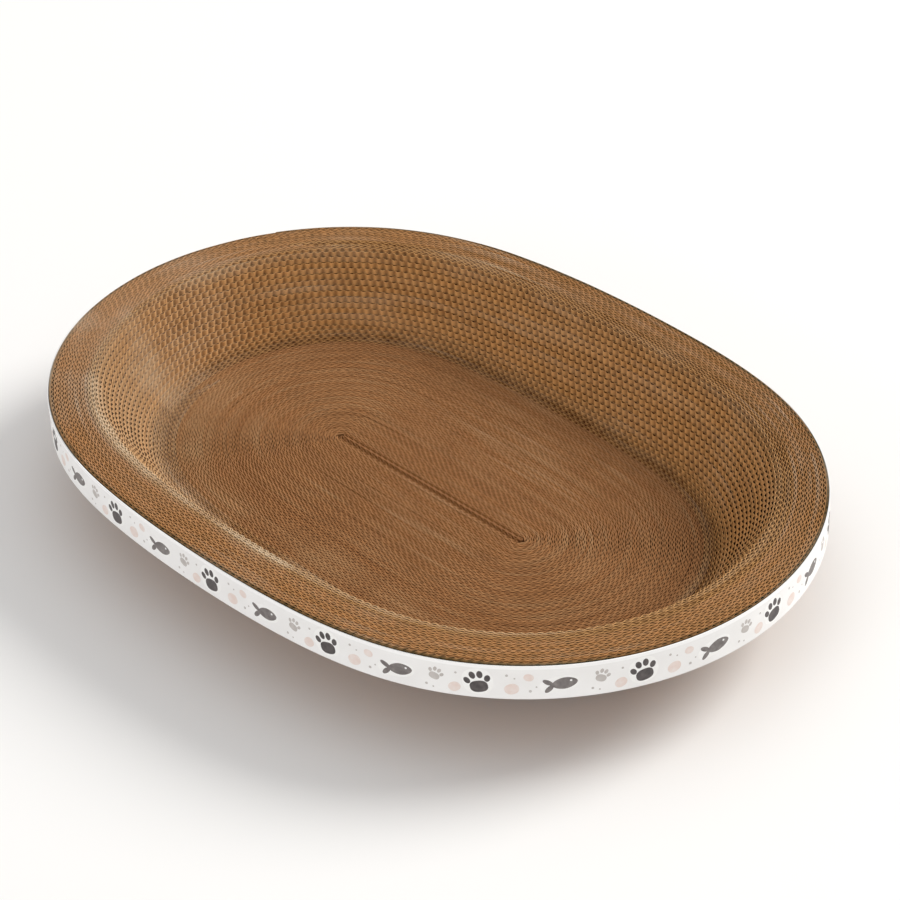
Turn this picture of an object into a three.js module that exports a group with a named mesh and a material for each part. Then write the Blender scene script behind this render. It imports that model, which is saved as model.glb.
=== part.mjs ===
// Oval cat scratcher bed. Strips of corrugated board stand on edge, wound and glued into one
// oval coil whose loops step up from a flat floor, over a sloping wall, to a flat rim. A printed
// paper band goes round the outside of the rim.
// Millimetres, +Z up. The origin is under the middle of the floor, on the face that it stands on.

import * as THREE from 'three';

// Outline
const LENGTH = 600;
const WIDTH = 420;
const SIDE_BOW = 12.5; // how far the long sides bow out from straight

// Section of the bowl. Widths are in plan
const BOWL_DEPTH = 55; // from the rim's top down to the floor's top
const WALL_WIDTH = 47.5;
const RIM_WIDTH = 31; // with the band
const FOOT_BLEND = 14; // where the floor curves up into the wall
const CREST_BLEND = 6; // where the wall curves over into the rim

// Board strips. One loop is four boards, wound together
const STRIP_HEIGHT = 26;
const CORE_THICKNESS = 7.3; // folded strip that the coil starts from
const COIL_LOOPS = 21;
const LOOP_BOARDS = 4; // each is a step where the loop climbs
const LEAST_STEP = 0.2; // from one board's top to the next, where a climbing loop is almost level
const GLUE_GAP = 0.5; // between loops
const BUTT_GAP = 0.6; // between the ends of two strips
const END_THICKNESS = 2; // at the coil's two ends, where a loop thins out
const FLOOR_STRIPS = 9;
const WALL_STRIPS = 6;
const RIM_STRIPS = 5;

// Printed band
const BAND_THICKNESS = 0.8;
const BAND_CLEARANCE = 0.4; // to the outermost loop
const BAND_SEAM = 0.6; // between its two ends

// Faceting of the ovals
const STATIONS = 32; // points round a loop
const FINE_STEPS = 3600; // for spacing those points
const START_ANGLE = Math.PI; // where the coil and the band start, at the -X end

// Sizes that follow
const halfLength = LENGTH / 2;
const halfWidth = WIDTH / 2;
const rimEdge = halfWidth - RIM_WIDTH;
const floorEdge = rimEdge - WALL_WIDTH;
const rimTop = STRIP_HEIGHT + BOWL_DEPTH;
const bandHeight = STRIP_HEIGHT; // the band just covers the outermost strip
const coilStart = CORE_THICKNESS / 2 + GLUE_GAP;
const coilEnd = halfWidth - BAND_THICKNESS - BAND_CLEARANCE + GLUE_GAP;
const pitch = (coilEnd - coilStart) / COIL_LOOPS;
const wallSlope = BOWL_DEPTH / (WALL_WIDTH - (FOOT_BLEND + CREST_BLEND) / 2);

const floorBoard = new THREE.MeshStandardMaterial({ color: '#94693f', roughness: 0.95, metalness: 0 });
const wallBoard = new THREE.MeshStandardMaterial({ color: '#a3774b', roughness: 0.95, metalness: 0 });
const rimBoard = new THREE.MeshStandardMaterial({ color: '#a87c52', roughness: 0.95, metalness: 0 });
const bandPaper = new THREE.MeshStandardMaterial({ color: '#efedea', roughness: 0.6, metalness: 0 });

// The oval of a half width, at the point whose outward normal has this angle. It runs parallel
// to a thin ellipse, so its ends are round and its sides bow out a little.
function ovalPoint(half, angle) {
  const bow = (SIDE_BOW * half) / halfWidth;
  const reach = halfLength - halfWidth + bow;
  const across = Math.cos(angle);
  const along = Math.sin(angle);
  const root = Math.hypot(reach * across, bow * along);
  const x = (reach * reach * across) / root + (half - bow) * across;
  const y = (bow * bow * along) / root + (half - bow) * along;
  return new THREE.Vector2(x, y);
}

// Normal angles of the points round a loop, spaced so that each facet is about as flat as the next
function stationAngles() {
  const angleAt = (step) => START_ANGLE + (2 * Math.PI * step) / FINE_STEPS;
  const sums = [0];
  for (let step = 0; step < FINE_STEPS; step += 1) {
    const here = ovalPoint(halfWidth, angleAt(step));
    const next = ovalPoint(halfWidth, angleAt(step + 1));
    sums.push(sums[step] + Math.sqrt(here.distanceTo(next)));
  }
  const angles = [];
  for (let station = 0; station < STATIONS; station += 1) {
    const wanted = (sums[FINE_STEPS] * station) / STATIONS;
    angles.push(angleAt(sums.findIndex((sum) => sum >= wanted)));
  }
  return angles;
}
const angles = stationAngles();

// Height of the board's top edge, at a half width
function bowlTop(half) {
  const fromFloor = half - floorEdge;
  const fromRim = rimEdge - half;
  if (fromFloor <= 0) {
    return STRIP_HEIGHT;
  }
  if (fromRim <= 0) {
    return rimTop;
  }
  if (fromFloor < FOOT_BLEND) {
    return STRIP_HEIGHT + (wallSlope * fromFloor ** 2) / (2 * FOOT_BLEND);
  }
  if (fromRim < CREST_BLEND) {
    return rimTop - (wallSlope * fromRim ** 2) / (2 * CREST_BLEND);
  }
  return STRIP_HEIGHT + wallSlope * (fromFloor - FOOT_BLEND / 2);
}

// Half widths of a loop's two faces, after so many turns. The first loop starts thin and the
// last one ends thin, so that both sides of the coil are plain ovals.
const spiral = (turn) => coilStart + pitch * THREE.MathUtils.clamp(turn, 0, COIL_LOOPS);
const coil = {
  inner: spiral,
  outer: (turn) => spiral(turn + 1) - GLUE_GAP,
  top: bowlTop,
  height: STRIP_HEIGHT,
};
const taperTurns = (END_THICKNESS + GLUE_GAP) / pitch;
const firstTurn = taperTurns - 1;
const lastTurn = COIL_LOOPS - taperTurns;

const wrap = {
  inner: () => halfWidth - BAND_THICKNESS,
  outer: () => halfWidth,
  top: () => rimTop,
  height: bandHeight,
};

// Corners of a strip's section at a station: over its top, which climbs in so many steps, from the
// inner face to the outer one, and then back along its underside.
function stationCorners(winding, steps, station) {
  const angle = angles[THREE.MathUtils.euclideanModulo(station, STATIONS)];
  const inner = winding.inner(station / STATIONS);
  const outer = winding.outer(station / STATIONS);
  const corner = (half, height) => {
    const flat = ovalPoint(half, angle);
    return new THREE.Vector3(flat.x, flat.y, height);
  };
  const corners = [];
  for (let step = 0; step < steps; step += 1) {
    const from = THREE.MathUtils.lerp(inner, outer, step / steps);
    const to = THREE.MathUtils.lerp(inner, outer, (step + 1) / steps);
    const lowest = STRIP_HEIGHT + LEAST_STEP * step;
    const highest = rimTop - LEAST_STEP * (steps - 1 - step);
    const height = THREE.MathUtils.clamp(winding.top((from + to) / 2), lowest, highest);
    corners.push(corner(from, height), corner(to, height));
  }
  corners.push(corner(outer, winding.top(outer) - winding.height));
  corners.push(corner(inner, winding.top(inner) - winding.height));
  return corners;
}

// The same after any number of turns. Between two stations the corners lie on straight lines.
function sectionCorners(winding, steps, turn) {
  const station = Math.floor(turn * STATIONS);
  const next = stationCorners(winding, steps, station + 1);
  return stationCorners(winding, steps, station).map((corner, index) => (
    corner.lerp(next[index], turn * STATIONS - station)
  ));
}

// Triangles that close a strip's end, in the order of the section's corners
function endFaces(corners) {
  const inner = corners[0];
  const flat = corners.map(({ x, y, z }) => new THREE.Vector2(-Math.hypot(x - inner.x, y - inner.y), z));
  return THREE.ShapeUtils.triangulateShape(flat, []);
}

// Closed solid of a strip wound from one turn to another
function woundStrip(winding, steps, from, to) {
  const turns = [from];
  for (let station = Math.floor(from * STATIONS) + 1; station < to * STATIONS; station += 1) {
    turns.push(station / STATIONS);
  }
  turns.push(to);
  const sections = turns.map((turn) => sectionCorners(winding, steps, turn));
  const count = sections[0].length;
  const last = count * (sections.length - 1);
  const faces = [];
  for (const [a, b, c] of endFaces(sections[0])) {
    faces.push(a, c, b);
  }
  for (const [a, b, c] of endFaces(sections[sections.length - 1])) {
    faces.push(last + a, last + b, last + c);
  }
  for (let section = 0; section < last; section += count) {
    for (let side = 0; side < count; side += 1) {
      const a = section + side;
      const b = section + ((side + 1) % count);
      faces.push(a, b, b + count, a, b + count, a + count);
    }
  }
  const geometry = new THREE.BufferGeometry().setFromPoints(sections.flat());
  geometry.setIndex(faces);
  const facets = geometry.toNonIndexed();
  facets.computeVertexNormals();
  return facets;
}

const bed = new THREE.Group();

function addPiece(name, geometry, material) {
  const piece = new THREE.Mesh(geometry, material);
  piece.name = name;
  bed.add(piece);
}

// Cuts a stretch of the coil into strips of about one length, and adds them. Each turn is longer
// than the one before by the same amount, so the length wound grows with the square of the turns.
function addStrips(name, steps, from, to, count, material) {
  const ends = 4 * (halfLength - halfWidth);
  const turnsAhead = (ends / (2 * Math.PI) + coilStart) / pitch;
  const turnAt = (share) => {
    const squares = THREE.MathUtils.lerp((from + turnsAhead) ** 2, (to + turnsAhead) ** 2, share);
    return Math.sqrt(squares) - turnsAhead;
  };
  for (let number = 1; number <= count; number += 1) {
    const start = turnAt((number - 1) / count);
    const end = turnAt(number / count);
    const loopLength = ends + 2 * Math.PI * coil.outer(end);
    addPiece(`${name}_${number}`, woundStrip(coil, steps, start, end - BUTT_GAP / loopLength), material);
  }
}

// Core: the folded strip in the middle
const coreOutline = angles.map((angle) => ovalPoint(CORE_THICKNESS / 2, angle));
const coreShape = new THREE.ExtrudeGeometry(new THREE.Shape(coreOutline), {
  depth: STRIP_HEIGHT,
  bevelEnabled: false,
});
addPiece('core_strip', coreShape, floorBoard);

// Coil: the floor's strips end where their outer face reaches the wall's foot, and the rim's start
// where their inner face reaches the rim, so that both are level
const turnsTo = (half) => (half - coilStart) / pitch;
addStrips('floor_strip', 1, firstTurn, turnsTo(floorEdge) - 1, FLOOR_STRIPS, floorBoard);
addStrips('wall_strip', LOOP_BOARDS, turnsTo(floorEdge) - 1, turnsTo(rimEdge), WALL_STRIPS, wallBoard);
addStrips('rim_strip', 1, turnsTo(rimEdge), lastTurn, RIM_STRIPS, rimBoard);

// Band
const bandLength = 4 * (halfLength - halfWidth) + Math.PI * WIDTH;
addPiece('side_band', woundStrip(wrap, 1, 0, 1 - BAND_SEAM / bandLength), bandPaper);

// Least gap in plan between a loop's outer face and the next loop's inner face
function leastGap() {
  let least = Infinity;
  const nearest = new THREE.Vector3();
  for (let turn = firstTurn; turn < lastTurn - 1; turn += 0.5 / STATIONS) {
    const point = sectionCorners(coil, 1, turn)[1].setZ(0);
    for (let step = -2; step < 2; step += 1) {
      const from = sectionCorners(coil, 1, turn + 1 + step / STATIONS)[0].setZ(0);
      const to = sectionCorners(coil, 1, turn + 1 + (step + 1) / STATIONS)[0].setZ(0);
      new THREE.Line3(from, to).closestPointToPoint(point, true, nearest);
      least = Math.min(least, nearest.distanceTo(point));
    }
  }
  return least;
}
console.log(`least gap between loops ${leastGap().toFixed(2)} mm`);

export default bed;
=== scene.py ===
# Oval cat scratcher bed: corrugated board wound on edge into a bowl, with a printed band round its rim.
# Metres, +Z up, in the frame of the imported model.

import math

import bpy
import numpy as np
from mathutils import Matrix, Vector


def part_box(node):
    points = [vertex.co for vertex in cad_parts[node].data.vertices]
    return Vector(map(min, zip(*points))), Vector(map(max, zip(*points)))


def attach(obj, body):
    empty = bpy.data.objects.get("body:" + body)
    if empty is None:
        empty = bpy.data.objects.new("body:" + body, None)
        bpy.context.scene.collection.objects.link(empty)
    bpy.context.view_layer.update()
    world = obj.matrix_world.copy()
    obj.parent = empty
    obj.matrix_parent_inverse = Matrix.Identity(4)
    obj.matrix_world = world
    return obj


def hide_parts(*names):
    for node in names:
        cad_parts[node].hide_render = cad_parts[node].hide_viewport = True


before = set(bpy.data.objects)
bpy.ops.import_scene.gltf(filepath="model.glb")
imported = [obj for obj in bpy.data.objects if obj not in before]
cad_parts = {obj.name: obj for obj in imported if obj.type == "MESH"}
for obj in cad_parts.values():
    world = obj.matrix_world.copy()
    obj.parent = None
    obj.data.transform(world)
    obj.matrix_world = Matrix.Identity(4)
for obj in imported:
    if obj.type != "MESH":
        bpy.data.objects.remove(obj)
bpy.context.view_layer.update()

# Core strip
# The coil starts from a strip of single-face corrugated board: a flat kraft liner with a fluted sheet
# glued to one side of it. The strip stands on edge and is folded twice, so three straight plies lie
# side by side. Glue on the flute tips holds each ply to the next.

MM = 0.001
FULL_TURN = 2 * math.pi
CORE_LOW, CORE_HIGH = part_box("core_strip")
STRIP_HEIGHT = CORE_HIGH[2] - CORE_LOW[2]
CORE_PLIES = 3
CORE_BOARD = (CORE_HIGH[1] - CORE_LOW[1]) / CORE_PLIES
PAPER = 0.45 * MM  # a little thicker than real, so that its cut edge shows in the render
MOST_PAPER = 0.45  # of a board's thickness, where its flutes are crushed
GLUE = 0.02 * MM
FLUTE_PITCH = 6.0 * MM
FLUTE_STEPS = 6  # points along one flute
STEP = FLUTE_PITCH / FLUTE_STEPS
LINER_STRIDE = 2  # the liner takes every second point
WASHBOARD_SHADE = 0.2  # painted light and shade of the liner's ripple: paler along the flutes glued to it, darker between them
SHARP_EDGE = math.radians(60)
chance = np.random.default_rng(7)  # seeded, so that each run winds the same boards


def linear(hex_colour, alpha=1.0):
    """An sRGB hex colour as linear values."""
    shares = [int(hex_colour[i:i + 2], 16) / 255 for i in (1, 3, 5)]
    return [c / 12.92 if c <= 0.04045 else ((c + 0.055) / 1.055) ** 2.4 for c in shares] + [alpha]


def add_node(tree, kind, settings=None, **inputs):
    """A shader node with its settings. Each input is a value or another node's socket.

    An input goes by its name, with _ for a space, or by its number, as in _0.
    """
    made = tree.nodes.new("ShaderNode" + kind)
    for name, value in (settings or {}).items():
        setattr(made, name, value)
    for name, value in inputs.items():
        label = name.replace("_", " ")
        socket = made.inputs[int(label[1:])] if label[1:].isdigit() else made.inputs[label]
        if isinstance(value, bpy.types.NodeSocket):
            tree.links.new(value, socket)
        else:
            socket.default_value = value
    return made


# Kraft board is unbleached wood pulp, pressed and not coated. It is dull, with a mottle of a few
# millimetres and fine fibres. Its cut edges are paler and fuzzy, and so is board that is scuffed. The
# insides of the flutes and the last board along the band are darker with painted shade, and painted light
# makes some top edges paler, along with the wear.
MOTTLE = 8 * MM
FIBRE = 0.9 * MM  # coarser than real, so that it shows in the render
FIBRE_HEIGHT = 0.08 * MM
SCUFF_CLOUD = 70 * MM
FIBRE_SHARE = 0.45  # how strongly the fibres show beside the mottle
CUT_TONE = 0.25  # how much paler a cut edge is


def kraft_board(name, colour, dark, pale):
    """Kraft board; its mesh gives each point's tone, wear and painted light, and each face's painted
    shade.
    """
    material = bpy.data.materials.new(name)
    material.use_nodes = True
    tree = material.node_tree
    shader = tree.nodes["Principled BSDF"]
    place = add_node(tree, "TexCoord").outputs["Object"]
    mottling = {"Scale": 1 / MOTTLE, "Detail": 4.0, "Roughness": 0.6}
    mottle = add_node(tree, "TexNoise", Vector=place, **mottling).outputs[0]
    matting = {"Scale": 1 / FIBRE, "Detail": 2.0, "Roughness": 0.7}
    fibre = add_node(tree, "TexNoise", Vector=place, **matting).outputs[0]
    cloud = add_node(tree, "TexNoise", Vector=place, Scale=1 / SCUFF_CLOUD, Detail=2.0).outputs[0]
    tone = add_node(tree, "Attribute", {"attribute_name": "tone"}).outputs["Fac"]
    wear_and_light = add_node(tree, "Attribute", {"attribute_name": "wear_and_light"}).outputs["Fac"]
    flute_shade = add_node(tree, "Attribute", {"attribute_name": "flute_shade"}).outputs["Fac"]

    # Cut edges face up or down
    facing = add_node(tree, "NewGeometry").outputs["Normal"]
    upward = add_node(tree, "SeparateXYZ", None, Vector=facing).outputs["Z"]
    level = add_node(tree, "Math", {"operation": "ABSOLUTE"}, _0=upward).outputs[0]
    edge_on = {"From_Min": 0.7, "From_Max": 0.95}
    cut = add_node(tree, "MapRange", None, Value=level, **edge_on).outputs[0]

    # Pulp: mottle and fibres between the board's two browns, shifted by the tone of the strip and darkened
    # by the painted shade inside the flutes. A low tone goes on past the darker brown, and a high one past
    # the other.
    grain = add_node(
        tree, "Math", {"operation": "MULTIPLY_ADD"}, _0=fibre, _1=FIBRE_SHARE, _2=mottle,
    ).outputs[0]
    flute_shaded = add_node(tree, "Math", {"operation": "SUBTRACT"}, _0=tone, _1=flute_shade).outputs[0]
    shifted = add_node(tree, "Math", {"operation": "ADD"}, _0=grain, _1=flute_shaded).outputs[0]
    paler = add_node(
        tree, "Math", {"operation": "MULTIPLY_ADD"}, _0=cut, _1=CUT_TONE, _2=shifted,
    ).outputs[0]
    span = {"From_Min": 0.35, "From_Max": 1.1}  # from the darker brown to the other
    share = add_node(tree, "MapRange", {"clamp": False}, Value=paler, **span).outputs[0]
    browns = {"data_type": "RGBA", "clamp_factor": False}
    pulp = add_node(tree, "Mix", browns, _0=share, _6=linear(dark), _7=linear(colour)).outputs[2]

    # Scuffs and painted light follow the wear attribute, in clouds of loose fibres
    clouds = {"From_Min": 0.4, "From_Max": 0.65, "To_Min": 0.35}
    patches = add_node(tree, "MapRange", None, Value=cloud, **clouds).outputs[0]
    loose = {"From_Min": 0.3, "From_Max": 0.7, "To_Min": 0.55, "To_Max": 1.45}
    tufts = add_node(tree, "MapRange", None, Value=fibre, **loose).outputs[0]
    wear_light_patches = add_node(tree, "Math", {"operation": "MULTIPLY"}, _0=wear_and_light, _1=patches).outputs[0]
    wear_light_tufts = add_node(tree, "Math", {"operation": "MULTIPLY"}, _0=wear_light_patches, _1=tufts).outputs[0]
    board = add_node(tree, "Mix", {"data_type": "RGBA"}, _0=wear_light_tufts, _6=pulp, _7=linear(pale)).outputs[2]
    tree.links.new(board, shader.inputs["Base Color"])

    # The surface is dull all over, and fuzzy with fibres
    rough = add_node(tree, "MapRange", None, Value=fibre, To_Min=0.82, To_Max=0.98).outputs[0]
    tree.links.new(rough, shader.inputs["Roughness"])
    bump = add_node(tree, "Bump", None, Strength=0.5, Distance=FIBRE_HEIGHT, Height=fibre).outputs[0]
    tree.links.new(bump, shader.inputs["Normal"])
    shader.inputs["Specular IOR Level"].default_value = 0.15
    return material


# The floor's browns are darker than the rim's: painted shade, for the bowl's wall that shades the floor
floor_kraft = kraft_board("floor kraft board", "#a17046", "#825937", "#ceac80")

TOP, RIGHT, FOOT, LEFT = range(4)  # a sheet's faces, in their order round it


def paper_sheet(left, right, top, foot, lengths, wear_and_light, tone, flute_shade, flute_side):
    """Closed solid of a paper sheet on edge, from its two faces' lines in plan.

    The flute side is the face that looks into the flutes, which takes the painted shade.
    """
    rows = len(left)
    corners = np.empty((rows, 4, 3))  # in each row top left, top right, foot right and foot left
    corners[:, [0, 3], :2] = left[:, None]
    corners[:, [1, 2], :2] = right[:, None]
    corners[:, :2, 2] = top[:, None]
    corners[:, 2:, 2] = foot[:, None]
    side = np.array([TOP, RIGHT, FOOT, LEFT])
    after = (side + 1) % 4
    start = 4 * np.arange(rows - 1)[:, None]
    quads = np.stack([start + side, start + after, start + after + 4, start + side + 4], axis=2)
    last = 4 * (rows - 1)
    ends = [[0, 3, 2, 1], [last, last + 1, last + 2, last + 3]]
    girth = np.cumsum([0, PAPER, STRIP_HEIGHT, PAPER, STRIP_HEIGHT])
    flat = np.zeros((rows - 1, 4, 4, 2))
    flat[:, :, :2, 0] = lengths[:-1, None, None]
    flat[:, :, 2:, 0] = lengths[1:, None, None]
    flat[:, :, [0, 3], 1] = girth[:4, None]
    flat[:, :, [1, 2], 1] = girth[1:, None]
    return {
        "corners": corners.reshape(-1, 3),
        "faces": np.concatenate([quads.reshape(-1, 4), ends]),
        "flat": flat.reshape(-1, 4, 2),  # each face's corners along the sheet and round it
        "wear_and_light": (wear_and_light[:, None] * [1, 1, 0, 0]).ravel(),  # along the top edge, and none at the foot
        "tone": np.repeat(tone, 4),
        "flute_shade": np.append(flute_shade[:-1, None] * (side == flute_side), [0, 0]),  # and none on the ends
    }


def board_sheets(line, lengths, out, thick, top, foot, wear_and_light, tone, flute_shade, paper=PAPER, wear_and_valley_shade=0.0):
    """Fluting along a line in plan, and its liner on the side that out points to."""
    turn = FULL_TURN * lengths / FLUTE_PITCH + chance.uniform(0, FULL_TURN)
    paper = np.minimum(paper, MOST_PAPER * thick)
    height = (thick - GLUE) / 2 - paper
    wave = paper / 2 + height * (1 - np.cos(turn))
    slope = height * np.sin(turn) * FULL_TURN / FLUTE_PITCH
    forward = np.stack([-out[:, 1], out[:, 0]], axis=1)
    lean = (paper / 2 / np.hypot(1, slope))[:, None]
    middle = line + out * wave[:, None]
    across = out * lean - forward * lean * slope[:, None]
    worn_and_shaded_tone = tone + wear_and_valley_shade * np.cos(turn)  # the flutes' crests are paler with wear, and their valleys darker with painted shade
    looks = wear_and_light, worn_and_shaded_tone, flute_shade
    fluting = paper_sheet(middle - across, middle + across, top, foot, lengths, *looks, RIGHT)
    # Painted light and shade of the liner's ripple over the flutes
    liner_tone = tone - WASHBOARD_SHADE * np.cos(turn)
    few = np.append(np.arange(0, len(line) - 1, LINER_STRIDE), len(line) - 1)
    inside = (line + out * (thick - paper)[:, None])[few]
    outside = (line + out * (thick - GLUE)[:, None])[few]
    looks = wear_and_light[few], liner_tone[few], flute_shade[few]
    liner = paper_sheet(inside, outside, top[few], foot[few], lengths[few], *looks, LEFT)
    return [fluting, liner]


def flat_places(sheets):
    """Each corner's place when the sheets' faces are laid out flat in rows, sheet after sheet."""
    gap = MM  # between two rows, and the side of the squares that stand for the small end faces
    girth = 2 * (STRIP_HEIGHT + PAPER) + gap
    row_length = math.sqrt(sum(sheet["flat"][:, :, 0].max() for sheet in sheets) * girth)
    rows_used = 0
    places = []
    for sheet in sheets:
        flat = sheet["flat"]
        row = np.floor(flat[:, :1, 0] / row_length)
        along = flat[:, :, 0] - row * row_length
        up = flat[:, :, 1] + (row + rows_used) * girth
        end = np.array([[0, 0], [gap, 0], [gap, gap], [0, gap]]) + [0, rows_used * girth]
        places += [np.stack([along, up], axis=2), [end, end]]
        rows_used += int(row.max()) + 1
    return np.concatenate(places) / max(row_length + 2 * STEP, rows_used * girth)


def add_board(name, sheets, material):
    """One strip of board from its sheets, which moves with the bed."""
    firsts = np.cumsum([0] + [len(sheet["corners"]) for sheet in sheets])
    faces = np.concatenate([sheet["faces"] + first for sheet, first in zip(sheets, firsts)])
    mesh = bpy.data.meshes.new(name)
    mesh.vertices.add(firsts[-1])
    mesh.vertices.foreach_set("co", np.concatenate([sheet["corners"] for sheet in sheets]).ravel())
    mesh.loops.add(4 * len(faces))
    mesh.loops.foreach_set("vertex_index", faces.ravel().astype(np.int32))
    mesh.polygons.add(len(faces))
    mesh.polygons.foreach_set("loop_start", 4 * np.arange(len(faces), dtype=np.int32))
    mesh.update(calc_edges=True)
    mesh.polygons.foreach_set("use_smooth", np.ones(len(faces), bool))
    mesh.set_sharp_from_angle(angle=SHARP_EDGE)
    for quality, domain in (("wear_and_light", "POINT"), ("tone", "POINT"), ("flute_shade", "FACE")):
        values = np.concatenate([sheet[quality] for sheet in sheets]).astype(np.float32)
        mesh.attributes.new(quality, "FLOAT", domain).data.foreach_set("value", values)
    mesh.uv_layers.new(name="OFBake").data.foreach_set("uv", flat_places(sheets).ravel())
    mesh.materials.append(material)
    made = bpy.data.objects.new(name, mesh)
    bpy.context.collection.objects.link(made)
    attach(made, "root")
    return made


def even_steps(corners, short=0.0):
    """Points about a flute step apart along a line in plan, up to a little short of its end.

    Also gives how far along the line each point lies, and where in the list of corners.
    """
    along = np.concatenate([[0], np.cumsum(np.hypot(*np.diff(corners, axis=0).T))])
    lengths = np.linspace(0, along[-1] - short, round((along[-1] - short) / STEP) + 1)
    line = np.stack([np.interp(lengths, along, corners[:, axis]) for axis in (0, 1)], axis=1)
    return line, lengths, np.interp(lengths, along, np.arange(len(corners)))


# The path runs along one ply, round a tight fold, back along the next and forward along the third. The
# flutes are crushed flat in the folds and at the two ends.
FOLD_POINTS = 13
FLAT_END = 1 * MM  # how far each end of the strip is crushed
CRUSHED_BOARD = 2.4 * PAPER
fold = np.radians(np.linspace(90, -90, FOLD_POINTS))
fold_line = np.stack([np.cos(fold), np.sin(fold)], axis=1) * CORE_BOARD / 2
run = CORE_HIGH[0] - CORE_HIGH[1]
core_line = np.concatenate([
    [[-run - FLAT_END, CORE_BOARD]],
    fold_line + [run, CORE_BOARD / 2],
    fold_line * [-1, 1] + [-run, -CORE_BOARD / 2],
    [[run + FLAT_END, -CORE_BOARD]],
])
line, lengths, _ = even_steps(core_line)
heading = np.gradient(line, axis=0)
heading /= np.hypot(*heading.T)[:, None]
core_out = np.stack([heading[:, 1], -heading[:, 0]], axis=1)
core_thick = np.where(np.abs(line[:, 0]) < run, CORE_BOARD - GLUE, CRUSHED_BOARD)
core_top = np.full(len(line), CORE_HIGH[2])
core_foot = np.full(len(line), CORE_LOW[2])
inner_face = line - core_out * core_thick[:, None] / 2
looks = [np.zeros(len(line))] * 3  # no wear or painted light, even in tone, and no painted flute shade
core_sheets = board_sheets(inner_face, lengths, core_out, core_thick, core_top, core_foot, *looks)
core = add_board("core_strip_board", core_sheets, floor_kraft)
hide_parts("core_strip")

# Floor strips
# Strips of four boards, wound round the core end to end with the flutes inward. Each loop is glued to
# the one before it. All stand level, so that their cut edges make the flat floor and the face that the
# bed stands on.

BAND_LOW, BAND_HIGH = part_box("side_band")
HALF_LENGTH, HALF_WIDTH = BAND_HIGH[0], BAND_HIGH[1]
RIM_TOP = BAND_HIGH[2]
SIDE_BOW = 12.5 * MM  # how far the long sides bow out from straight
RIM_WIDTH = 31 * MM  # in plan, with the band
WALL_WIDTH = 47.5 * MM
FOOT_BLEND = 14 * MM  # where the floor curves up into the wall
CREST_BLEND = 6 * MM  # where the wall curves over into the rim
BAND_PAPER = 0.8 * MM
BAND_CLEARANCE = 0.4 * MM
COIL_LOOPS = 21
LOOP_BOARDS = 4
GLUE_GAP = 0.5 * MM  # between the loops of the solids, which the flutes reach across here
BUTT = 0.25 * MM  # between the ends of two strips
STAGGER = 14 * MM  # between the ends of a strip's boards
LEAST_LOOP = 2 * MM  # of the solids at the coil's two ends
LEAST_BOARD = 0.8 * MM  # where a board ends there, with its flutes crushed flat
START_ANGLE = math.pi  # at the -X end
COIL_START = CORE_HIGH[1]
COIL_END = HALF_WIDTH - BAND_PAPER - BAND_CLEARANCE
LOOP = (COIL_END - COIL_START) / COIL_LOOPS
BOARD = LOOP / LOOP_BOARDS
RIM_EDGE = HALF_WIDTH - RIM_WIDTH
FLOOR_EDGE = RIM_EDGE - WALL_WIDTH
WALL_SLOPE = (RIM_TOP - STRIP_HEIGHT) / (WALL_WIDTH - (FOOT_BLEND + CREST_BLEND) / 2)


def oval(half, angle):
    """Points of the ovals of these half widths where the outward normal has these angles."""
    bow = SIDE_BOW * half / HALF_WIDTH
    reach = HALF_LENGTH - HALF_WIDTH + bow
    across, along = np.cos(angle), np.sin(angle)
    root = np.hypot(reach * across, bow * along)
    x = reach ** 2 * across / root + (half - bow) * across
    y = bow ** 2 * along / root + (half - bow) * along
    return np.stack([x, y], axis=-1)


def tangent_distance(half, angle):
    """How far from the middle the oval's tangent lies. Two ovals' difference is the gap between them."""
    bow = SIDE_BOW * half / HALF_WIDTH
    reach = HALF_LENGTH - HALF_WIDTH + bow
    return np.hypot(reach * np.cos(angle), bow * np.sin(angle)) + half - bow


def bowl_top(half):
    """Height of the board's top edge over the floor, curved foot, wall, curved crest and rim."""
    from_floor = half - FLOOR_EDGE
    from_rim = RIM_EDGE - half
    foot = STRIP_HEIGHT + WALL_SLOPE * from_floor ** 2 / (2 * FOOT_BLEND)
    crest = RIM_TOP - WALL_SLOPE * from_rim ** 2 / (2 * CREST_BLEND)
    wall = STRIP_HEIGHT + WALL_SLOPE * (from_floor - FOOT_BLEND / 2)
    zones = [from_floor <= 0, from_rim <= 0, from_floor < FOOT_BLEND, from_rim < CREST_BLEND]
    return np.select(zones, [STRIP_HEIGHT, RIM_TOP, foot, crest], wall)


def board_face(turns, number):
    """Half width of a board's inner face after so many turns. The next number's is its outer face."""
    return np.clip(COIL_START + LOOP * turns + BOARD * number, COIL_START, COIL_END)


def loop_angles():
    """Normal angles round a loop, close together on the round ends and along the sides."""
    even = np.linspace(0, FULL_TURN, 360, endpoint=False)  # one a degree
    bow = SIDE_BOW / 3  # of a loop a third of the way out
    reach = HALF_LENGTH - HALF_WIDTH + bow
    sides = np.arctan2(reach * np.sin(even), bow * np.cos(even)) % FULL_TURN
    return np.unique(np.concatenate([even, sides]).round(9))


LOOP_ANGLES = loop_angles()

# What varies slowly along a board: how far apart the changes are, and how large
DENTS = (30 * MM, 0.05)  # as a share of its thickness
UNEVEN_EDGES = (120 * MM, 0.15 * MM)
SMALL_SCUFFS = (60 * MM, 0.12)
SHADES = (400 * MM, 0.05)
BOARD_SHADES = 0.05  # from one board to the next
FEWEST_KNOTS = 4


def slow_drift(count, spacing, size):
    """A smooth random line of so many points, for what varies slowly along a board."""
    knots = max(FEWEST_KNOTS, int(count * STEP / spacing) + 2)
    places = np.linspace(0, knots - 1, count)
    values = chance.normal(0, size, knots)
    whole = np.floor(places).astype(int).clip(0, knots - 2)
    share = places - whole
    share = share * share * (3 - 2 * share)
    return values[whole] * (1 - share) + values[whole + 1] * share
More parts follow.
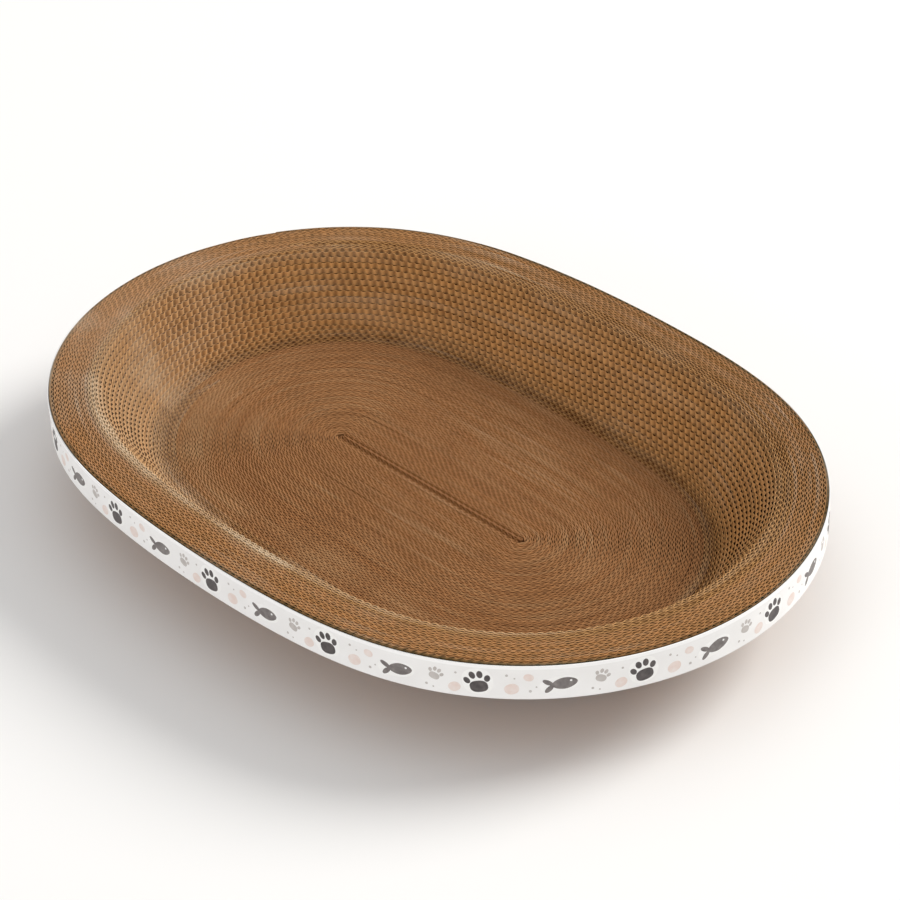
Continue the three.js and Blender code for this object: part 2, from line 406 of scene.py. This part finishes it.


# How far the wear and painted light on the top edges reach across the boards, how strong they are, and
# on which side of the bed. A side is the angle that it faces, and how narrow it is.
CREST_REACH = 4 * MM
WALL_REACH = 26 * MM  # from half way up the wall
FLOOR_REACH = 12 * MM  # from the floor's paler ring
PALE_FLOOR_RING = FLOOR_EDGE - 18 * MM  # half width of that ring
LEAST_CREST_WEAR = 0.05
CREST_WEAR_AND_HIGHLIGHT = 0.45  # wear and painted highlight, added to that on one side
WALL_WEAR_AND_LIGHT = 0.95
FLOOR_WEAR_AND_LIGHT = 0.5
# Painted light makes the rim paler on one side
RIM_LIGHT = 0.38
HIGHLIT_CREST_SIDE = (math.radians(262), 1.5)
PALE_END = (math.radians(230), 4)  # of the wall and the floor, which are paler there with wear and painted light
LIT_RIM_SIDE = (math.radians(203), 6)


def on_side(normal, angle, narrow):
    """1 where the normal has the side's angle, and less the further it turns away."""
    return np.exp(narrow * (np.cos(normal - angle) - 1))


def wear_and_painted_light(half, normal):
    """How pale the boards' top edges are, with wear and painted light, on the crest, at one end and on the
    rim.
    """
    crest = np.exp(-((half - RIM_EDGE + CREST_BLEND / 2) / CREST_REACH) ** 4)
    wall = np.exp(-((half - (FLOOR_EDGE + RIM_EDGE) / 2) / WALL_REACH) ** 4)
    floor = np.exp(-((half - PALE_FLOOR_RING) / FLOOR_REACH) ** 2)
    # the crest is paler with wear all round, and more on one side with wear and a painted highlight
    crest_wear_and_highlight = crest * (LEAST_CREST_WEAR + CREST_WEAR_AND_HIGHLIGHT * on_side(normal, *HIGHLIT_CREST_SIDE))
    # the wall and the floor's ring are paler at one end, with wear and painted light
    end_wear_and_light = on_side(normal, *PALE_END) * (WALL_WEAR_AND_LIGHT * wall + FLOOR_WEAR_AND_LIGHT * floor)
    # painted light on one side of the rim
    rim_light = RIM_LIGHT * (on_side(normal, *LIT_RIM_SIDE) * (half > RIM_EDGE))
    return crest_wear_and_highlight + end_wear_and_light + rim_light


# From the wall's foot to its crest: half widths, and the paper, painted flute shade and rim's share there
WALL_PLACES = [FLOOR_EDGE, FLOOR_EDGE + FOOT_BLEND, RIM_EDGE - CREST_BLEND, RIM_EDGE]
EDGE_PAPERS = [0.68 * MM, 0.38 * MM, 0.38 * MM, 0.54 * MM]  # use has spread floor and rim
# painted shade inside the flutes, darkest on the wall
FLUTE_SHADE = [0, 1.2, 1.2, 0.6]
ON_RIM = [0, 0, 0, 1]
RIM_SHADE_SIDE = (math.radians(65), 3)  # the side where painted shade darkens the rim
# how much darker that painted shade makes the rim
RIM_SHADE = 0.35
BAND_SHADE_REACH = 2 * MM  # how far painted shade reaches into the last board from the band
BAND_SHADE = 1.2  # how much darker that painted shade makes the board


def wound_board(first_turn, last_turn, number, wear_and_valley_shade, tones):
    """The sheets of one of a strip's boards, wound from one turn to another."""
    rounds = np.arange(math.floor(first_turn), math.ceil(last_turn) + 1)
    angles = (LOOP_ANGLES + FULL_TURN * rounds[:, None]).ravel()
    inside = (angles > FULL_TURN * first_turn) & (angles < FULL_TURN * last_turn)
    angles = np.concatenate([[FULL_TURN * first_turn], angles[inside], [FULL_TURN * last_turn]])
    inner_face = oval(board_face(angles / FULL_TURN, number), START_ANGLE + angles)
    line, lengths, where = even_steps(inner_face, BUTT)
    angle = np.interp(where, np.arange(len(angles)), angles)
    near, far = board_face(angle / FULL_TURN, number), board_face(angle / FULL_TURN, number + 1)
    middle = (near + far + GLUE_GAP) / 2
    normal = START_ANGLE + angle
    out = np.stack([np.cos(normal), np.sin(normal)], axis=1)
    thick = tangent_distance(far, normal) - tangent_distance(near, normal) - GLUE
    dented = thick * (1 - np.abs(slow_drift(len(line), *DENTS)))
    foot = bowl_top(middle) - STRIP_HEIGHT
    top = foot + STRIP_HEIGHT + slow_drift(len(line), *UNEVEN_EDGES)
    wear_and_light = wear_and_painted_light(middle, normal) + np.abs(slow_drift(len(line), *SMALL_SCUFFS))
    tone = chance.normal(0, BOARD_SHADES) + slow_drift(len(line), *SHADES)
    tone += np.interp(middle, WALL_PLACES, tones)
    # Painted shade on one side of the rim
    tone -= RIM_SHADE * np.interp(middle, WALL_PLACES, ON_RIM) * on_side(normal, *RIM_SHADE_SIDE)
    # Painted shade along the band's edge, where the last board meets it
    tone -= BAND_SHADE * np.exp(-((COIL_END - middle) / BAND_SHADE_REACH) ** 2)
    # Painted shade inside the flutes
    flute_shade = np.interp(middle, WALL_PLACES, FLUTE_SHADE)
    paper = np.interp(middle, WALL_PLACES, EDGE_PAPERS)
    return board_sheets(line, lengths, out, dented, top, foot, wear_and_light, tone, flute_shade, paper, wear_and_valley_shade)


def turns_to(half):
    """Turns after which a loop's inner face reaches a half width."""
    return (half - COIL_START - GLUE_GAP) / LOOP


THIN_TURNS = (LEAST_LOOP + GLUE_GAP) / LOOP
FIRST_TURN = THIN_TURNS - 1
LAST_TURN = COIL_LOOPS - THIN_TURNS
WALL_TURN = turns_to(FLOOR_EDGE) - 1
STRAIGHTS = 4 * (HALF_LENGTH - HALF_WIDTH)  # what a loop has beyond the length of a circle


def board_end(turn, number):
    """Turns at which a board ends. A strip's boards are staggered, and thin out at the coil's ends."""
    if turn == FIRST_TURN:
        return (LEAST_BOARD - BOARD * (number + 1)) / LOOP
    if turn == LAST_TURN:
        return COIL_LOOPS - (LEAST_BOARD + BOARD * number) / LOOP
    loop_length = STRAIGHTS + FULL_TURN * board_face(turn, number)
    return turn + (number - (LOOP_BOARDS - 1) / 2) * STAGGER / loop_length


def wind_strips(group, material, first_turn, last_turn, wear_and_valley_shade=0.0, tones=(0, 0, 0, 0)):
    """Winds a group's strips, all of about one length, from one turn to another in place of their nodes.

    Each turn is longer than the one before by the same amount, so the length wound grows with the square
    of the turns.
    """
    nodes = [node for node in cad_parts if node.startswith(group)]
    nodes.sort(key=lambda node: int(node.rsplit("_", 1)[1]))
    turns_ahead = (STRAIGHTS / FULL_TURN + COIL_START + GLUE_GAP) / LOOP
    first_square, last_square = (first_turn + turns_ahead) ** 2, (last_turn + turns_ahead) ** 2
    joints = np.sqrt(np.linspace(first_square, last_square, len(nodes) + 1)) - turns_ahead
    joints[0], joints[-1] = first_turn, last_turn
    for node, start, end in zip(nodes, joints[:-1], joints[1:]):
        sheets = []
        for number in range(LOOP_BOARDS):
            sheets += wound_board(board_end(start, number), board_end(end, number), number, wear_and_valley_shade, tones)
        strip = add_board(node + "_board", sheets, material)
        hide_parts(node)


wind_strips("floor_strip", floor_kraft, FIRST_TURN, WALL_TURN)

# Wall strips
# The same strips again, but each board is pushed up a few millimetres past the one before it, so the
# wall climbs in small steps. Every step shows a few millimetres of bare fluting on its inner face.

# The wall's browns are lighter than the rim's: painted light, against the shade on the sloping wall
wall_kraft = kraft_board("wall kraft board", "#d09c61", "#a87a49", "#dec7a8")
CREST_WEAR_VALLEY_SHADE = 0.5  # how much paler wear makes the flutes' crests, and how much darker painted shade makes their valleys
WALL_TONES = (-0.9, 0, 0, -0.4)  # darker where the wall runs out into the floor and the rim, so that its painted light fades out
RIM_TURN = turns_to(RIM_EDGE)
wind_strips("wall_strip", wall_kraft, WALL_TURN, RIM_TURN, CREST_WEAR_VALLEY_SHADE, WALL_TONES)

# Rim strips
# The last strips are level again and make the flat rim. The outermost boards are pressed thin at their
# ends, so that the band lies smoothly over them. Painted shade darkens the last one along the band.

rim_kraft = kraft_board("rim kraft board", "#bd8754", "#976d42", "#d8c5ae")
wind_strips("rim_strip", rim_kraft, RIM_TURN, LAST_TURN)

# Side band
# A strip of white coated paper, about as tall as the board, is glued round the outside of the rim, and
# its two ends meet at the -X end. A pale grey wash is printed on it, under a bare top edge.

BAND_STEP = 3 * MM
BAND_SEAM = 0.6 * MM
BAND_DROP = 0.7 * MM  # from the board's top edge down to the band's
BAND_TOP = BAND_HIGH[2] - BAND_DROP
BAND_FOOT = BAND_LOW[2]
WHITE_EDGE = 2.2 * MM  # unprinted along the top
WASH_EDGE = 0.3 * MM  # over which the wash begins
WASH_MOTTLE = 22 * MM
RIPPLE = 38 * MM
RIPPLE_DEPTH = 0.6 * MM


def coated_paper():
    """Printed white paper. Its coat is calendered smooth, so it has a soft sheen.

    It ripples faintly where the glue has drawn it in.
    """
    material = bpy.data.materials.new("coated band paper")
    material.use_nodes = True
    tree = material.node_tree
    shader = tree.nodes["Principled BSDF"]
    place = add_node(tree, "TexCoord").outputs["Object"]
    wash = add_node(tree, "TexNoise", Vector=place, Scale=1 / WASH_MOTTLE, Detail=3.0).outputs[0]
    height = add_node(tree, "SeparateXYZ", None, Vector=place).outputs["Z"]
    bare = BAND_TOP - WHITE_EDGE
    margin = {"From_Min": bare, "From_Max": bare - WASH_EDGE}
    below = add_node(tree, "MapRange", None, Value=height, **margin).outputs[0]
    mottle = {"From_Min": 0.3, "From_Max": 0.7, "To_Min": 0.5}
    mottled = add_node(tree, "MapRange", None, Value=wash, **mottle).outputs[0]
    share = add_node(tree, "Math", {"operation": "MULTIPLY"}, _0=below, _1=mottled).outputs[0]
    white, grey = linear("#fbfaf9"), linear("#efedeb")
    colour = add_node(tree, "Mix", {"data_type": "RGBA"}, _0=share, _6=white, _7=grey).outputs[2]
    tree.links.new(colour, shader.inputs["Base Color"])
    ripple = add_node(tree, "TexNoise", Vector=place, Scale=1 / RIPPLE, Detail=1.0).outputs[0]
    bump = add_node(tree, "Bump", None, Strength=0.35, Distance=RIPPLE_DEPTH, Height=ripple).outputs[0]
    tree.links.new(bump, shader.inputs["Normal"])
    rough = add_node(tree, "MapRange", None, Value=wash, To_Min=0.38, To_Max=0.52).outputs[0]
    tree.links.new(rough, shader.inputs["Roughness"])
    return material


band_angles = np.append(LOOP_ANGLES, LOOP_ANGLES[0] + FULL_TURN)
band_corners = oval(np.full(len(band_angles), HALF_WIDTH), START_ANGLE + band_angles)
band_along = np.concatenate([[0], np.cumsum(np.hypot(*np.diff(band_corners, axis=0).T))])
BAND_LENGTH = band_along[-1]


def on_band(along, up, proud):
    """Places a little proud of the band's outer face, from the distance round it and the height."""
    angle = START_ANGLE + np.interp(along, band_along, band_angles)
    flat = oval(np.full(len(angle), HALF_WIDTH), angle)
    flat += np.stack([np.cos(angle), np.sin(angle)], axis=1) * proud
    return np.column_stack([flat, np.broadcast_to(up, len(angle))])


def add_paper(name, corners, faces, material):
    """A piece of the band, which moves with the bed and takes the band's finish."""
    mesh = bpy.data.meshes.new(name)
    mesh.from_pydata(corners.tolist(), [], faces)
    mesh.polygons.foreach_set("use_smooth", np.ones(len(mesh.polygons), bool))
    mesh.set_sharp_from_angle(angle=SHARP_EDGE)
    mesh.materials.append(material)
    made = bpy.data.objects.new(name, mesh)
    bpy.context.collection.objects.link(made)
    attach(made, "root")
    return made


rows = round(BAND_LENGTH / BAND_STEP)
along = np.linspace(BAND_SEAM / 2, BAND_LENGTH - BAND_SEAM / 2, rows)
edges = [(BAND_TOP, -BAND_PAPER), (BAND_TOP, 0), (BAND_FOOT, 0), (BAND_FOOT, -BAND_PAPER)]
corners = np.stack([on_band(along, up, proud) for up, proud in edges], axis=1).reshape(-1, 3)
last = 4 * (rows - 1)
faces = [[0, 3, 2, 1], [last, last + 1, last + 2, last + 3]]
for row in range(0, last, 4):
    for edge in range(4):
        after = (edge + 1) % 4
        faces.append([row + edge, row + after, row + after + 4, row + edge + 4])
band = add_paper("side_band_paper", corners, faces, coated_paper())
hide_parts("side_band")

# Band print
# Paw marks, little fish, soft spots and specks in flat inks, with a bare white line round the larger
# marks. The inks are laid on the paper one over another, so each is a film with the paper's own sheen.

REPEAT = 104 * MM
REPEATS = round(BAND_LENGTH / REPEAT)
PRINT_MIDDLE = (BAND_TOP + BAND_FOOT) / 2 - 0.8 * MM  # a little low, under the bare edge
SEAM_SPOT = 83.7 * MM  # where in the repeat the band's seam falls, clear of every mark
INK_MOTTLE = 4 * MM
FIRST_FILM = 0.05 * MM  # thicker than real ink, so that one film clears the next
SECOND_FILM = 0.09 * MM
THIRD_FILM = 0.12 * MM
OUTLINE_STEP = 12  # degrees


def printed_ink(name, colour, thin):
    """Offset ink. It keeps the soft sheen of the paper, and lies a little thinner in places."""
    material = bpy.data.materials.new(name)
    material.use_nodes = True
    tree = material.node_tree
    shader = tree.nodes["Principled BSDF"]
    place = add_node(tree, "TexCoord").outputs["Object"]
    lie = add_node(tree, "TexNoise", Vector=place, Scale=1 / INK_MOTTLE, Detail=4.0).outputs[0]
    share = add_node(tree, "MapRange", None, Value=lie, From_Min=0.35, From_Max=0.7).outputs[0]
    inks = {"_6": linear(colour), "_7": linear(thin)}
    ink = add_node(tree, "Mix", {"data_type": "RGBA"}, _0=share, **inks).outputs[2]
    tree.links.new(ink, shader.inputs["Base Color"])
    rough = add_node(tree, "MapRange", None, Value=lie, To_Min=0.4, To_Max=0.55).outputs[0]
    tree.links.new(rough, shader.inputs["Roughness"])
    return material


def turned(outline, place, tilt):
    """An outline that is tilted and then set at its place."""
    lean, rise = math.cos(math.radians(tilt)), math.sin(math.radians(tilt))
    across, up = outline.T
    return np.stack([place[0] + across * lean - up * rise, place[1] + across * rise + up * lean], axis=1)


def ellipse(middle, size, tilt=0, corner=2.0):
    """Outline of an ellipse in millimetres, or of a squarer or leaner form by its corner number."""
    round_it = np.radians(np.arange(0, 360, OUTLINE_STEP))
    across = size[0] / 2 * np.sign(np.cos(round_it)) * np.abs(np.cos(round_it)) ** (2 / corner)
    up = size[1] / 2 * np.sign(np.sin(round_it)) * np.abs(np.sin(round_it)) ** (2 / corner)
    return turned(np.stack([across, up], axis=1), middle, tilt)


def print_ink(name, outlines, proud, material):
    """Films of ink on the band, at every repeat. Each is closed, and curves with the band."""
    corners, faces = [], []
    for number in range(REPEATS):
        for outline in outlines:
            middle = outline.mean(axis=0)
            points = len(outline)
            half_way = (outline + middle) / 2
            flat = np.concatenate([outline, outline, half_way, [middle]]) * MM
            lift = np.concatenate([np.zeros(points), np.full(2 * points + 1, proud)])[:, None]
            along = flat[:, 0] - SEAM_SPOT + BAND_LENGTH * number / REPEATS
            back = len(corners)
            front, inner, centre = back + points, back + 2 * points, back + 3 * points
            corners.extend(on_band(along % BAND_LENGTH, flat[:, 1] + PRINT_MIDDLE, lift))
            for here in range(points):
                after = (here + 1) % points
                faces.append([back + here, back + after, front + after, front + here])
                faces.append([front + here, front + after, inner + after, inner + here])
                faces.append([inner + here, inner + after, centre])
            faces.append([back + here for here in reversed(range(points))])
    return add_paper(name, np.array(corners), faces, material)


paw = [
    ellipse((0, -3.6), (11.6, 8.8), corner=2.5),
    ellipse((-6.5, 1.8), (3.8, 5.2), 24),
    ellipse((-2.4, 5.3), (3.9, 5.6), 8),
    ellipse((2.4, 5.3), (3.9, 5.6), -8),
    ellipse((6.5, 1.8), (3.8, 5.2), -24),
]
fish = [
    ellipse((1.6, 0), (16.4, 8.8), corner=1.75),
    ellipse((-8.4, 2.5), (7.4, 3.4), -38),
    ellipse((-8.4, -2.5), (7.4, 3.4), 38),
]
small_size = 0.6
small_paw = [outline * small_size for outline in paw]
paw_spot, paw_tilt = (0, 0.3), 12
fish_spot, fish_tilt = (52, -0.4), 9
small_spot, small_tilt = (77, 2.6), -22
paw_marks = [turned(part, paw_spot, paw_tilt) for part in paw]
fish_marks = [turned(part, fish_spot, fish_tilt) for part in fish]
small_marks = [turned(part, small_spot, small_tilt) for part in small_paw]
eyes = [turned(ellipse((5.8, 1.2), (1.5, 1.5)), fish_spot, fish_tilt)]
bare_line = [
    turned(ellipse((0, 0.4), (19.6, 20.0), corner=2.3), paw_spot, paw_tilt),
    turned(ellipse((-1.4, 0), (25.4, 12.0), corner=2.4), fish_spot, fish_tilt),
]
blush_spots = [
    ellipse((21.0, -4.0), (9.4, 8.0), 20, 2.2),
    ellipse((31.5, 5.0), (6.4, 5.4), -15, 2.2),
    ellipse((89.0, -5.4), (8.2, 7.0), 35, 2.2),
]
specks = [
    ellipse((18.0, 6.4), (1.8, 1.8)),
    ellipse((22.8, 4.2), (1.2, 1.2)),
    ellipse((32.4, -5.6), (2.0, 2.0)),
    ellipse((36.2, -2.4), (1.2, 1.2)),
    ellipse((71.0, -6.4), (1.8, 1.8)),
    ellipse((75.4, -8.0), (1.2, 1.2)),
    ellipse((90.0, 5.6), (1.6, 1.6)),
]
print_ink("print_bare_line", bare_line, FIRST_FILM, printed_ink("bare coated paper", "#f8f7f5", "#f5f3f0"))
print_ink("print_blush", blush_spots, FIRST_FILM, printed_ink("blush ink", "#e6d3ca", "#ebdfd9"))
print_ink("print_specks", specks, FIRST_FILM, printed_ink("pale grey ink", "#bdb7b2", "#cbc6c2"))
print_ink("print_paws", paw_marks, SECOND_FILM, printed_ink("charcoal ink", "#413b3b", "#5d5655"))
print_ink("print_fish", fish_marks, SECOND_FILM, printed_ink("slate ink", "#6a6361", "#86807d"))
print_ink("print_small_paws", small_marks, FIRST_FILM, printed_ink("warm grey ink", "#b9b2ad", "#c8c2be"))
print_ink("print_eyes", eyes, THIRD_FILM, printed_ink("white ink", "#f8f7f5", "#f2f0ee"))

# Stage
# A plain pale floor of matt board, just under the face that the bed stands on. The room round it is
# white, and lights the bed softly from all sides.

STAGE_SIZE = 12
STAGE_DROP = 0.1 * MM
ROOM_LIGHT = 0.62

stage_material = bpy.data.materials.new("matt stage board")
stage_material.use_nodes = True
stage_shader = stage_material.node_tree.nodes["Principled BSDF"]
stage_shader.inputs["Base Color"].default_value = linear("#f6f5f4")
stage_shader.inputs["Roughness"].default_value = 0.9
bpy.ops.mesh.primitive_plane_add(size=STAGE_SIZE, location=(0, 0, -STAGE_DROP))
stage = bpy.context.object
stage.name = "stage_floor"
stage.data.materials.append(stage_material)

world = bpy.data.worlds.new("studio")
bpy.context.scene.world = world
world.use_nodes = True
room = world.node_tree.nodes["Background"]
room.inputs["Color"].default_value = linear("#ffffff")
room.inputs["Strength"].default_value = ROOM_LIGHT

# Camera
# A long lens, about a third of the way up from level, that looks at the middle of the rim's plane from
# beside the +X end. The shift puts that point where it lies in the photograph.

AZIMUTH = math.radians(48.2)
ELEVATION = math.radians(33.6)
ROLL = math.radians(-2.24)
DISTANCE = 2.01
SENSOR = 36  # millimetres
FOCAL_PIXELS = 2923
FRAME_PIXELS = 900
AIM_PIXEL = (426, 421)

right = np.array([math.cos(AZIMUTH), math.sin(AZIMUTH), 0])
towards = np.array([math.sin(AZIMUTH), -math.cos(AZIMUTH), 0])  # level, from the bed to the camera
back = math.cos(ELEVATION) * towards + [0, 0, math.sin(ELEVATION)]
upward = np.cross(back, right)
camera_right = math.cos(ROLL) * right + math.sin(ROLL) * upward
camera_up = -math.sin(ROLL) * right + math.cos(ROLL) * upward
aim = np.array([0, 0, RIM_TOP])

camera_data = bpy.data.cameras.new("camera")
camera_data.sensor_width = SENSOR
camera_data.lens = FOCAL_PIXELS / FRAME_PIXELS * SENSOR
camera_data.shift_x = (FRAME_PIXELS / 2 - AIM_PIXEL[0]) / FRAME_PIXELS
camera_data.shift_y = (AIM_PIXEL[1] - FRAME_PIXELS / 2) / FRAME_PIXELS
camera = bpy.data.objects.new("camera", camera_data)
bpy.context.collection.objects.link(camera)
pose = np.eye(4)
pose[:3] = np.column_stack([camera_right, camera_up, back, aim + DISTANCE * back])
camera.matrix_world = Matrix(pose.tolist())
bpy.context.scene.camera = camera

# Light
# Two large round studio lights, far enough off to light the whole bed evenly: a warm white key to the
# right of the bed and a little behind it, and a weak fill at the left front.

LIGHT_DISTANCE = 9
LIGHT_SIZE = 4.8


def soft_light(name, around, height, watts, colour):
    """A large round light, at its angles from the camera round to the right and up from the floor."""
    level = math.sin(math.radians(around)) * right + math.cos(math.radians(around)) * towards
    place = math.cos(math.radians(height)) * level + [0, 0, math.sin(math.radians(height))]
    data = bpy.data.lights.new(name, "AREA")
    data.shape = "DISK"
    data.size = LIGHT_SIZE
    data.energy = watts
    data.color = linear(colour)[:3]
    lamp = bpy.data.objects.new(name, data)
    bpy.context.collection.objects.link(lamp)
    lamp.location = place * LIGHT_DISTANCE
    lamp.rotation_euler = Vector(-place).to_track_quat("-Z", "Y").to_euler()


soft_light("key", 112, 36, 660, "#fffdf9")
soft_light("fill", -45, 18, 144, "#ffffff")

# Colours are shown as they are lit, with no film curve
bpy.context.scene.view_settings.view_transform = "Standard"
bpy.context.scene.view_settings.look = "None"
